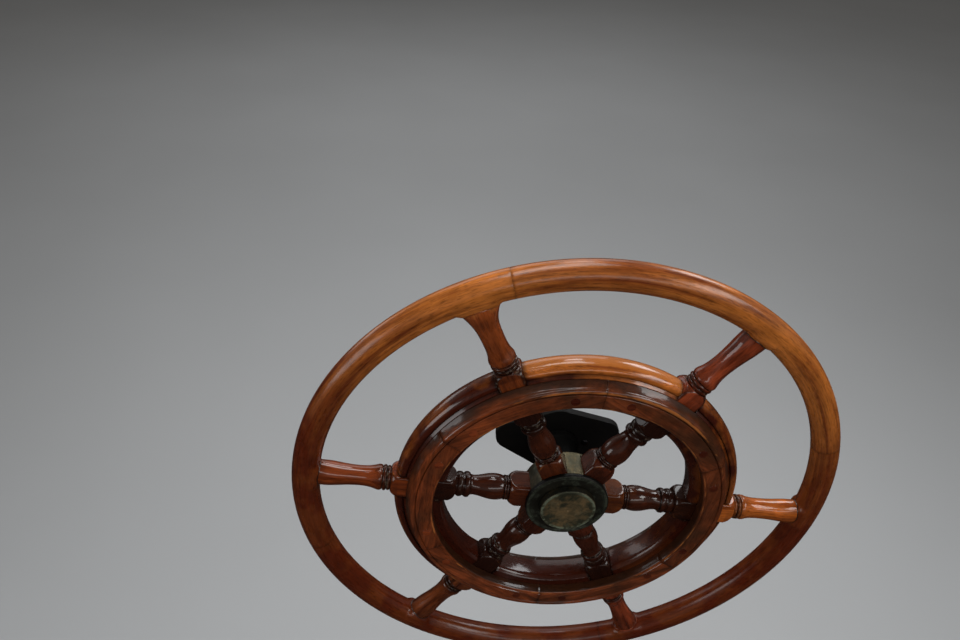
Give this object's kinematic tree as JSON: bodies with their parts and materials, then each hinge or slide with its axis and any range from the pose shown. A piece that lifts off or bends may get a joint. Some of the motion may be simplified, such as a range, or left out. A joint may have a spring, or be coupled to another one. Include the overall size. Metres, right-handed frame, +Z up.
{
  "type": "yacht steering wheel",
  "caption": "Varnished wooden ship's wheel with turned spokes, moulded felloe ring and plain round hand rim, on a bronze hub, shaft and black bulkhead plate.",
  "frame": {"origin": "where the wheel's axis meets the bulkhead, at the middle of the back face of the plate", "axes": "+Z up; +Y along the axis, from the helmsman into the bulkhead; +X to the helmsman's right"},
  "size_m": [0.6096, 0.1127, 0.6096],
  "materials": {
    "rim_wood": "gloss varnish",
    "spoke_wood": "gloss varnish",
    "felloe_wood": "gloss varnish",
    "facing_wood": "worn varnish",
    "hub_bronze": "dark patina",
    "cap_bronze": "worn, dull",
    "steel": "satin",
    "black_paint": "satin black paint"
  },
  "bodies": {
    "bulkhead_bearing": {"bulkhead_plate": "black_paint", "bearing_housing": "black_paint", "bearing_bush": "cap_bronze", "plate_screw_1": "steel", "plate_screw_2": "steel"},
    "wheel": {"shaft": "steel", "hub_drum": "hub_bronze", "hub_front_plate": "hub_bronze", "hub_cap": "cap_bronze", "spoke_1": "spoke_wood", "spoke_2": "spoke_wood", "spoke_3": "spoke_wood", "spoke_4": "spoke_wood", "spoke_5": "spoke_wood", "spoke_6": "spoke_wood", "felloe_segment_1": "felloe_wood", "felloe_segment_2": "felloe_wood", "felloe_segment_3": "felloe_wood", "felloe_segment_4": "felloe_wood", "felloe_segment_5": "felloe_wood", "felloe_segment_6": "felloe_wood", "front_facing_1": "facing_wood", "front_facing_2": "facing_wood", "front_facing_3": "facing_wood", "front_facing_4": "facing_wood", "front_facing_5": "facing_wood", "front_facing_6": "facing_wood", "rear_facing_1": "facing_wood", "rear_facing_2": "facing_wood", "rear_facing_3": "facing_wood", "rear_facing_4": "facing_wood", "rear_facing_5": "facing_wood", "rear_facing_6": "facing_wood", "rim_segment_1": "rim_wood", "rim_segment_2": "rim_wood", "rim_segment_3": "rim_wood", "rim_segment_4": "rim_wood"}
  },
  "joints": [
    {"name": "wheel_turn", "type": "hinge", "parent": "bulkhead_bearing", "child": "wheel", "pos_m": [0, -0.085, 0], "axis": [0, 1, 0], "continuous": true}
  ]
}
